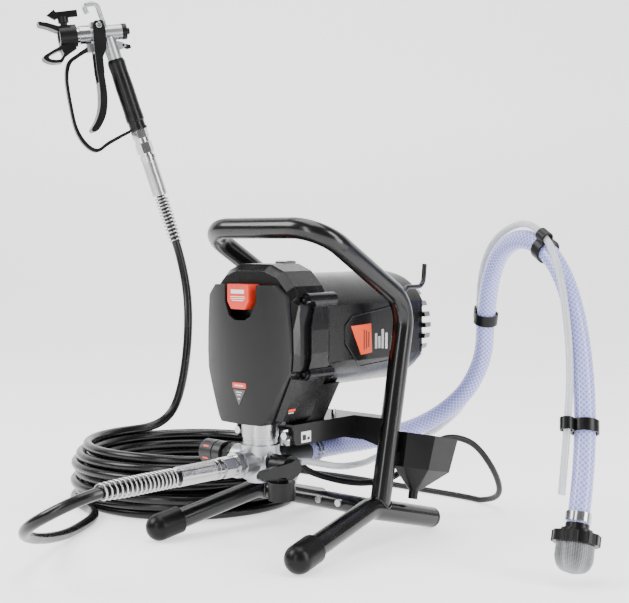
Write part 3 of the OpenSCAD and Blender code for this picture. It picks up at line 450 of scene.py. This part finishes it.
# radius and height of each turn: rows of three and two, laid in and out from the floor up
LAYS = [(156, 6.7), (142.5, 6.7), (129, 6.8), (135.7, 19), (149.3, 19),
        (156, 31.3), (142.5, 31.3), (129, 31.3), (135.7, 43.6), (149.3, 43.6),
        (155, 55.9), (141.5, 55.9), (128.5, 55.9), (135, 68.1), (148, 68.1), (138, 80.5)]
COIL_START, COIL_TURN = -97, 15 * 360 + 100  # degrees: where the hose joins the coil, and how far it winds
RISE = [[-402, 96, 82], [-391, 121, 98], [-383, 132, 132], [-378.2, 140.5, 183], [-382.5, 149.8, 236],
        [-400, 163, 289]]
SUCTION = [[0, -8, 104], [0, 50, 104], [2, 110, 103], [14, 160, 108], [42, 200, 126], [78, 222, 162],
           [104, 224, 210], [116, 214, 264], [134, 198, 316], [164, 178, 353], [206, 158, 367],
           [244, 145, 355], [274, 132, 327], [300, 116, 284], [324, 94, 222], [342, 68, 160],
           [352, 46, 108], [357, 27, 62]]
RETURN = [[31, -56.9, 101.5], [31, -50, 101.5], [33, -30, 97], [36, 12, 87], [34, 62, 84],
          [22, 112, 86], [16, 160, 90], [33, 206, 104],
          [63, 239, 142], [87, 241, 200], [98, 225, 262], [116, 204, 324], [152, 180, 367], [206, 158, 386],
          [250, 134, 370], [278, 116, 336], [299, 98, 288], [318, 76, 222], [331, 48, 160], [340, 22, 92]]
MAINS = [[-22, -10, 150], [-22, -10, 122], [-22, -7, 98], [-16, 8, 78], [4, 28, 66], [38, 54, 60],
         [62, 84, 66],
         [76, 124, 88], [92, 158, 110], [110, 190, 102], [120, 228, 62], [104, 266, 22], [60, 286, 4.1],
         [-60, 292, 4.1], [-190, 290, 4.1], [-300, 278, 4.1], [-360, 280, 4.1]]
MAINS_COIL = np.array([-425.0, 216.0])
MAINS_LAYS = [(58.5, 4.1), (50.2, 4.1), (42, 4.3), (46.1, 11.9), (58, 12)]
MAINS_START, MAINS_TURN = 68, 4 * 360 + 247
PLUG_AT = np.array([-358.0, 198.0, 12.0])


def coil_turns(centre, lays, start, total, wobble, seed, way=-1):
    """Turns from start degrees, each at its own radius and height, easing over to the next.
    Way -1 is clockwise, and wobble is how far a turn strays from round."""
    rng = np.random.default_rng(seed)
    phase = rng.uniform(0, 6.28, (4, len(lays) + 1))
    pts = []
    for a in np.arange(0, total, 4.0):
        k = int(a // 360)
        f = (a % 360) / 360
        ease = min(1.0, max(0.0, (f - 0.55) / 0.45))
        ease = ease * ease * (3 - 2 * ease)
        r0, z0 = lays[min(k, len(lays) - 1)]
        r1, z1 = lays[min(k + 1, len(lays) - 1)]
        ang = math.radians(start + way * a)
        blend = [math.sin(2 * ang + phase[0][k]), math.sin(3 * ang + phase[1][k])]
        off = wobble * (0.6 * blend[0] + 0.4 * blend[1]) * math.sin(math.pi * f)
        r = r0 + (r1 - r0) * ease + off
        z = z0 + (z1 - z0) * ease + 0.25 * abs(off)
        pts.append([centre[0] + r * math.cos(ang), centre[1] + r * math.sin(ang), z])
    return pts


def make_hoses():
    coil = coil_turns(COIL_MID, LAYS, COIL_START, COIL_TURN, 1.8, 3)
    rise = RISE + [hose_point(306), hose_point(290), hose_point(192)]
    path = above_floor(eased(spline(TAIL + coil + rise, 5.0), 20), HP_D / 2)
    hose = tube("pressure_hose", path, HP_D / 2, "hose", sides=16)
    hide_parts("hose_tail", "hose_coil", "hose_riser")

    pump_end, pump_way = np.array([0.0, -226, 104]), np.array([0.0, -1, 0])
    for node, start, way, turns, span in (("spring_guard_pump", pump_end, pump_way, 17, 112),
                                          ("spring_guard_gun", hose_point(216), GUN @ GRIP_DIR, 13, 80)):
        u = np.cross(way, [0, 0, 1] if abs(way[2]) < 0.9 else [0, 1, 0])
        u /= np.linalg.norm(u)
        v = np.cross(way, u)
        pts = []
        for i in range(int(turns * 20) + 1):
            f = i / (turns * 20)
            # the turns open up from a close-wound start, and the last one closes on the hose
            run = span * (0.04 + 0.93 * (0.15 * f * f + 0.85 * f))
            r = 9.9 - 1.5 * max(0, (f - 0.72) / 0.28)
            a = 2 * math.pi * turns * f
            pts.append(start + way * run + r * (math.cos(a) * u + math.sin(a) * v))
        coil_wire = tube(node + "_wire", pts, 1.25, "zinc", sides=8)
        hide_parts(node)

    path = eased(spline(SUCTION, 4.0), 8)
    suction = tube("suction_tube", path, SUCTION_D / 2, "braid", sides=40, bore=SUCTION_D / 2 - 3)
    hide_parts("suction_hose")
    wires = strainer_wires()

    path = eased(spline(RETURN, 3.0), 8)
    back = tube("return_line", path, RETURN_D / 2, "clear", sides=18, bore=RETURN_D / 2 - 1.4)
    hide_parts("return_tube")

    turns = coil_turns(MAINS_COIL, MAINS_LAYS, MAINS_START, MAINS_TURN, 0.6, 5, way=1)
    into_plug = [PLUG_AT - [8, 8, 0], PLUG_AT, PLUG_AT + [3, 3, 0]]
    path = above_floor(spline(MAINS + turns + into_plug, 4.0), MAINS_D / 2)
    mains = tube("mains_cord", path, MAINS_D / 2, "cord", sides=14)
    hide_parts("power_cord", "power_cord_coil")


def strainer_axes():
    """Foot of the suction hose, the way it points, and two directions across it."""
    top, before = np.array(SUCTION[-1], float), np.array(SUCTION[-2], float)
    way = (top - before) / np.linalg.norm(top - before)
    u = np.cross([0, 0, 1.0], way) if abs(way[2]) < 0.9 else np.cross([0, 1.0, 0], way)
    u /= np.linalg.norm(u)
    return top, way, u, np.cross(way, u)


def strainer_wires():
    """Woven cup: wires along and across a rounded profile, over the cup behind them, whose dark colour is
    painted shade of the strainer's hollow inside.
    """
    top, way, u, v = strainer_axes()
    prof = [(20.3, 22), (20.3, 38), (18.8, 42.8), (17.2, 46.2), (13.5, 49.8), (10, 51.3), (5, 52.4),
            (0.6, 53.2)]
    prof = spline([[r, 0, z] for r, z in prof], 1.3)[:, [0, 2]]
    verts, faces = [], []

    def strand(points, r, closed):
        pts = np.array(points)
        m, base = len(pts), len(verts)
        t = np.roll(pts, -1, 0) - np.roll(pts, 1, 0) if closed else np.gradient(pts, axis=0)
        t /= np.linalg.norm(t, axis=1)[:, None]
        for p, d in zip(pts, t):
            n = np.cross(d, [0.31, 0.52, 0.8])
            n /= np.linalg.norm(n)
            b = np.cross(d, n)
            for k in range(4):
                a = math.pi / 2 * k
                verts.append(at(*(p + r * (math.cos(a) * n + math.sin(a) * b))))
        for i in range(m if closed else m - 1):
            j = (i + 1) % m
            for k in range(4):
                k2 = (k + 1) % 4
                faces.append([base + i * 4 + k, base + i * 4 + k2, base + j * 4 + k2, base + j * 4 + k])

    def place(r, z, a):
        return top + way * z + r * (math.cos(a) * u + math.sin(a) * v)

    uprights, round_steps = 52, 60
    for i in range(uprights):
        a = 2 * math.pi * i / uprights
        stop = len(prof) if i % 4 == 0 else int(len(prof) * (0.9 if i % 2 == 0 else 0.8))
        strand([place(r + 0.25 * (-1) ** (k + i), z, a) for k, (r, z) in enumerate(prof[:stop])], 0.34, False)
    for k, (r, z) in enumerate(prof[1:]):
        if r > 3:
            hoop = [place(r + 0.1, z, 2 * math.pi * j / round_steps) for j in range(round_steps)]
            strand(hoop, 0.32, True)
    wires = new_mesh("strainer_wires", verts, faces, "mesh", "base")
    return wires


make_hoses()


# ---------- added pieces ----------
PLATE_THICK, OVER_PLATE = 0.45, 0.3  # a label's depth, and how far marks stand proud of it


def plate_on(name, outline, lift, mat, body="base", cuts=()):
    """A label: a flat outline cut across for bending, lifted onto a surface, with a rim down to it."""
    bm = bmesh.new()
    bm.faces.new([bm.verts.new((x, 0, z)) for x, z in outline])
    for c in cuts:
        bmesh.ops.bisect_plane(bm, geom=bm.verts[:] + bm.edges[:] + bm.faces[:], plane_co=(c, 0, 0),
                               plane_no=(1, 0, 0))
    top = bm.faces[:]
    ret = bmesh.ops.extrude_face_region(bm, geom=top)
    low = {v for v in ret["geom"] if isinstance(v, bmesh.types.BMVert)}
    for v in bm.verts:
        depth = 0.0 if v in low else PLATE_THICK
        v.co = lift(v.co.x, v.co.z, depth)
    return from_bmesh(name, bm, mat, body)


def on_cover(x, z, out):
    """Point on the bowed front cover, out millimetres proud of it."""
    r, axis_y = 160.1 + out, 33
    return at(x, axis_y - math.sqrt(r * r - x * x), z)


def on_panel(y, z, out):
    """Point on the flat side of the motor housing."""
    return at(60.85 + out, y, z)


def rounded(w, h, r, x0=0.0, z0=0.0, n=5):
    """Rectangle w by h about (x0, z0), with corners of radius r cut in n steps."""
    pts = []
    for sx, sz, a0 in ((1, 1, 0), (-1, 1, 90), (-1, -1, 180), (1, -1, 270)):
        cx, cz = sx * (w / 2 - r), sz * (h / 2 - r)
        for k in range(n + 1):
            a = math.radians(a0 + 90 * k / n)
            x, z = cx + r * math.cos(a), cz + r * math.sin(a)
            pts.append((x0 + x, z0 + z))
    return pts


def disc_stack(name, centre, way, rings, mat, body="base", sides=32):
    """Turned piece: rings are (radius, distance) along way, in drawing millimetres."""
    way = np.array(way, float) / np.linalg.norm(way)
    u = np.cross(way, [0, 0, 1.0] if abs(way[2]) < 0.9 else [0, 1.0, 0])
    u /= np.linalg.norm(u)
    v = np.cross(way, u)
    verts, faces = [], []
    for r, d in rings:
        for k in range(sides):
            a = 2 * math.pi * k / sides
            verts.append(at(*(np.array(centre, float) + way * d + r * (math.cos(a) * u + math.sin(a) * v))))
    for i in range(len(rings) - 1):
        for k in range(sides):
            k2 = (k + 1) % sides
            faces.append([i * sides + k, i * sides + k2, (i + 1) * sides + k2, (i + 1) * sides + k])
    faces += [list(range(sides))[::-1], [(len(rings) - 1) * sides + k for k in range(sides)]]
    obj = new_mesh(name, verts, faces, mat, body)
    obj.data.set_sharp_from_angle(angle=math.radians(35))
    return obj


def on_latch(x, z, out):
    """Point on the front of the cover's latch."""
    return at(x, -129.1 - out, z)


def on_arm(y, z, out):
    """Point on the outer side of the mounting bracket's arm."""
    return at(46.6 + out, y, z)


def on_low_side(y, t, out):
    """On the slanted lower side of the drive; t runs up the slope from its foot."""
    foot_x, foot_z, run, rise = 42.1, 155, 27, 56
    slope = math.hypot(run, rise)
    along, off = (run / slope, rise / slope), (rise / slope, -run / slope)
    return at(foot_x + t * along[0] + out * off[0], y, foot_z + t * along[1] + out * off[1])


def on_knob(s, x, out):
    """On the rim of the pressure knob; s runs round it from the front."""
    r = 15.05 + out
    return at(x, -92 - r * math.cos(s / 15), 106 + r * math.sin(s / 15))


def raised(lift, by=OVER_PLATE):
    """The same surface, for marks that stand proud of a label on it."""
    return lambda x, z, out: lift(x, z, out + by)


def labels():
    cuts = [-30 + 3 * k for k in range(21)]  # across the bow of the cover
    plate_on("cover_badge", rounded(22, 6.5, 1.6, 0, 197), on_cover, "red", "front_cover", cuts)
    plate_on("cover_badge_line", rounded(14, 1.5, 0.6, 0, 197), raised(on_cover), "pale_label",
             "front_cover", cuts)
    plate_on("cover_badge_field", [(-9.5, 192), (9.5, 192), (0, 174)], on_cover, "grey_label",
             "front_cover", cuts)
    for k, (w, z) in enumerate(((9, 189.2), (6, 186.2), (3, 181.5))):
        plate_on(f"cover_badge_bar_{k}", rounded(w, 1.1, 0.4, 0, z), raised(on_cover), "pale_label",
                 "front_cover", cuts)
    for k, (w, h, z) in enumerate(((21, 4.6, 306.5), (23, 0.9, 300.6), (23, 0.9, 298.4), (19, 0.9, 296.2))):
        plate_on(f"latch_bar_{k}", rounded(w, h, 0.4, 0, z), on_latch, "pale_label", "cover_latch")
    plate_on("panel_label", [(3.4, 262), (42.2, 263.4), (44.3, 227.4), (22.7, 225.8)], on_panel, "orange")
    for k, y in enumerate((28.5, 33, 37.5)):
        plate_on(f"panel_label_bar_{k}", rounded(1.5, 25 - 3 * k, 0.5, y, 244), raised(on_panel), "ink")
    for k, (y, z, h) in enumerate(((52.5, 241, 19), (59, 239, 15), (65.5, 243, 24), (73, 240, 20))):
        plate_on(f"panel_plate_{k}", rounded(4.2, h, 0.5, y, z), on_panel, "pale_label")
    plate_on("arm_sticker", rounded(17, 13, 0.8, -62.5, 134), on_arm, "pale_label")
    plate_on("arm_sticker_mark_0", rounded(6, 6.5, 0.5, -66, 133.5), raised(on_arm), "ink")
    plate_on("arm_sticker_mark_1", rounded(4.5, 3.5, 0.5, -58.5, 132), raised(on_arm), "ink")
    plate_on("shell_strip", rounded(12, 3.6, 1, -89.5, 15), on_low_side, "red")
    plate_on("shell_strip_bar", rounded(9, 1, 0.4, -89.5, 11.4), on_low_side, "pale_label")
    for k, s0 in enumerate((-6, 9)):
        plate_on(f"knob_mark_{k}", rounded(2.6, 9, 0.8, s0, -79.5), on_knob, "red", "pressure_knob")


def screws():
    """Dark socket screws in the lugs of the drive's front shell."""
    head = [(4.9, -2.1), (4.9, 0.5), (4.3, 1.0), (2.4, 1.0), (2.2, -0.6), (0.1, -0.6)]
    for x, z, y in ((70, 297, -91), (-70, 297, -91), (68, 211, -89), (-68, 211, -89)):
        name = f"lug_screw_{'r' if x > 0 else 'l'}{z}"
        disc_stack(name, (x, y, z), (0, -1, 0), head, "screw", sides=24)


def crimp_sleeves():
    """Fine ribs pressed into the sleeve at each end of the high-pressure hose."""
    rings = [(10.9, 29)]
    for k in range(24):
        z = 30 + 2.2 * k
        rings += [(11.08, z), (11.5, z + 0.45), (11.5, z + 1.25), (11.08, z + 1.7)]
    rings.append((10.9, 83.5))
    for name, start, way in (("crimp_ribs_pump", (0, -142, 104), (0, -1, 0)),
                             ("crimp_ribs_gun", hose_point(132), GUN @ GRIP_DIR)):
        disc_stack(name, start, way, rings, "zinc", sides=28)


def gun_trim():
    """Bright tip in the spray tip's mouth, and the heads of the trigger's pivot."""
    mouth = [(4.6, -1), (4.6, 0.9), (3.6, 1.6), (1.8, 1.6), (1.3, 0.2), (0.1, 0.2)]
    bright = disc_stack("tip_mouth", gun_point((55.2, 0, 17)), GUN @ [1, 0, 0], mouth, "brass", "spray_tip")
    head = [(4.4, 0), (4.4, 1.0), (3.6, 1.7), (1.4, 1.7), (1.2, 1.1), (0.1, 1.1)]
    for side in (1, -1):
        pin = disc_stack(f"pivot_head_{'l' if side > 0 else 'r'}", gun_point((0, 14.3 * side, 28)),
                         GUN @ [0, side, 0], head, "zinc", "trigger", 24)


def weld_bead(name, start, way, r, bar_at, bar_way, bar_r):
    """Bead where a round tube of radius r lands on a bar: walks round the tube, dropping to the bar."""
    start, way, bar_at, bar_way = (np.array(q, float) for q in (start, way, bar_at, bar_way))
    way /= np.linalg.norm(way)
    bar_way /= np.linalg.norm(bar_way)
    u = np.cross(way, [0.2, 1.0, 0.1])
    u /= np.linalg.norm(u)
    v = np.cross(way, u)
    pts = []
    for a in np.linspace(0, 2 * math.pi, 61):
        rim = start + r * (math.cos(a) * u + math.sin(a) * v)
        reach = np.linspace(-40, 40, 801)
        line = rim + reach[:, None] * way - bar_at
        gap = np.linalg.norm(line - (line @ bar_way)[:, None] * bar_way, axis=1)
        clear = reach[gap > bar_r]
        clear = clear[clear > reach[gap.argmin()]]
        drop = clear[0] if len(clear) else 0.0
        ripple = 0.25 * math.sin(17 * a)
        pts.append(rim + way * (drop + 0.3) + (0.3 + ripple) * (math.cos(a) * u + math.sin(a) * v))
    tube(name, pts, 1.7, "tube", sides=8)


def welds():
    """Where the upright and the crossbar land on each rail."""
    rail_x, rail_r, upright_r, crossbar_r = 94, 13, 12.5, 11
    for side in (1, -1):
        tag = "r" if side > 0 else "l"
        foot, lean = (rail_x * side, 18.2, 42), (0, 51.5, 246)
        rail, back = (rail_x * side, 0, 45), (0, 122, -31.5)
        weld_bead(f"upright_weld_{tag}", foot, lean, upright_r, rail, back, rail_r)
        weld_bead(f"crossbar_weld_{tag}", (60 * side, 12, 42.5), (-side, 0, 0), crossbar_r, rail, back,
                  rail_r)


def panel_rims():
    """Moulded line round the shallow label panel on each side of the motor housing."""
    corners = [(-8, 262), (6, 274), (84, 283), (102, 278), (102, 216), (26, 211), (10, 222), (-8, 242),
               (-8, 262)]
    flat_x, round_r, axis_z = 62.0, 70.5, 255  # the housing's side: a flat cut into a round
    line = []
    for (y0, z0), (y1, z1) in zip(corners[:-1], corners[1:]):
        for f in np.linspace(0, 1, 12, endpoint=False):
            line.append((y0 + f * (y1 - y0), z0 + f * (z1 - z0)))
    line.append(corners[0])
    out = [min(flat_x, math.sqrt(round_r ** 2 - (z - axis_z) ** 2)) - 0.1 for _, z in line]
    for side in (1, -1):
        pts = [(side * x, y, z) for x, (y, z) in zip(out, line)]
        rim = tube(f"panel_rim_{'r' if side > 0 else 'l'}", pts, 1.0, "shell", sides=8)


labels()
panel_rims()
screws()
crimp_sleeves()
gun_trim()
welds()


# ---------- stage and light ----------
def stage():
    """Floor that bends up into a wall behind the object, as the camera sees it. Metres."""
    size, start, bend, top = 6.0, 2.2, 0.8, 5.0
    me = bpy.data.meshes.new("floor")
    sweep = [(start + bend * math.sin(a), bend - bend * math.cos(a)) for a in np.linspace(0, math.pi / 2, 10)]
    prof = [(-size, 0.0)] + sweep + [(start + bend, top)]
    yaw = math.radians(CAMERA_YAW)
    back, right = Vector((-math.sin(yaw), math.cos(yaw), 0)), Vector((math.cos(yaw), math.sin(yaw), 0))
    drop = 0.0002  # keeps the floor clear of the feet
    verts = [SHIFT + back * d + right * s + Vector((0, 0, h - drop)) for d, h in prof for s in (-size, size)]
    faces = [(2 * i, 2 * i + 1, 2 * i + 3, 2 * i + 2) for i in range(len(prof) - 1)]
    me.from_pydata(verts, [], faces)
    me.materials.append(MAT["floor"])
    me.shade_smooth()
    floor = bpy.data.objects.new("floor", me)
    bpy.context.scene.collection.objects.link(floor)


def area_light(name, place, target, size, power):
    light = bpy.data.lights.new(name, "AREA")
    light.shape = "RECTANGLE"
    light.size, light.size_y = size
    light.energy = power
    obj = bpy.data.objects.new(name, light)
    obj.location = place
    obj.rotation_euler = (Vector(target) - Vector(place)).to_track_quat("-Z", "Y").to_euler()
    bpy.context.scene.collection.objects.link(obj)


def lights():
    world = bpy.data.worlds.new("world")
    bpy.context.scene.world = world
    world.use_nodes = True
    bg = world.node_tree.nodes["Background"]
    bg.inputs["Color"].default_value = (1, 1, 1, 1)
    bg.inputs["Strength"].default_value = 0.28
    aim = at(-40, 0, 250)
    area_light("key", at(-1300, -1500, 1700), aim, (1.2, 1.2), 58)
    area_light("side", at(1700, 300, 900), aim, (0.6, 1.8), 36)
    area_light("top", at(0, 100, 2300), aim, (2.0, 1.4), 44)
    area_light("strip", at(500, -1900, 700), aim, (0.35, 1.6), 15)


stage()
lights()
